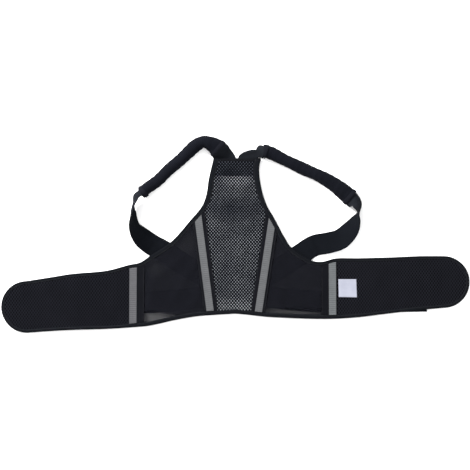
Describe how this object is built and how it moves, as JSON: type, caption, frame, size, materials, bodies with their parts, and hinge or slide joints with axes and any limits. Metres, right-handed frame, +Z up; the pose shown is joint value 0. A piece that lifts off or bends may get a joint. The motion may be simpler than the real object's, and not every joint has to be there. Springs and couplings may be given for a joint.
{
  "type": "posture corrector",
  "caption": "Net back panel with belly wings and padded shoulder straps that pull the shoulders back; lies flat, body side up.",
  "frame": {"origin": "middle of the part's footprint, on the surface that it lies on", "axes": "+X along the wings towards the right wing of the picture, +Y from the hem towards the shoulders, +Z up from the surface, out of the body side"},
  "size_m": [1.1, 0.4634, 0.0495],
  "materials": {
    "net": "open spacer net, matte",
    "backing": "smooth grey lining knit, matte",
    "black_lining": "black lining knit, matte",
    "sheer": "fine see-through knit, matte",
    "wing": "breathable knit with fine holes, matte",
    "binding": "folded binding tape, slight sheen",
    "casing": "woven casing tape, matte",
    "tape": "grey ribbed tape, slight sheen",
    "label": "satin label tape, bare",
    "webbing": "elastic webbing with fine cross ribs",
    "pad": "padded knit sleeve, matte",
    "hook": "hook fastener tape, matte"
  },
  "bodies": {
    "root": {"net_panel": "net", "panel_backing": "backing", "yoke_backing": "black_lining", "side_panel_left": "sheer", "side_panel_right": "sheer", "wing_left": "wing", "wing_right": "wing", "edge_binding_left": "binding", "edge_binding_right": "binding", "yoke_binding": "binding", "stay_casing_back_left": "casing", "stay_casing_back_right": "casing", "stay_casing_wing_left": "casing", "stay_casing_wing_right": "casing", "stay_tape_back_left": "tape", "stay_tape_back_right": "tape", "stay_tape_wing_left": "tape", "stay_tape_wing_right": "tape", "care_label": "label", "webbing_left": "webbing", "webbing_right": "webbing", "shoulder_pad_left": "pad", "shoulder_pad_right": "pad", "pad_collar_left_upper": "binding", "pad_collar_left_lower": "binding", "pad_collar_right_upper": "binding", "pad_collar_right_lower": "binding", "strap_hook_left": "hook", "strap_hook_right": "hook", "wing_hook": "hook"}
  },
  "joints": []
}
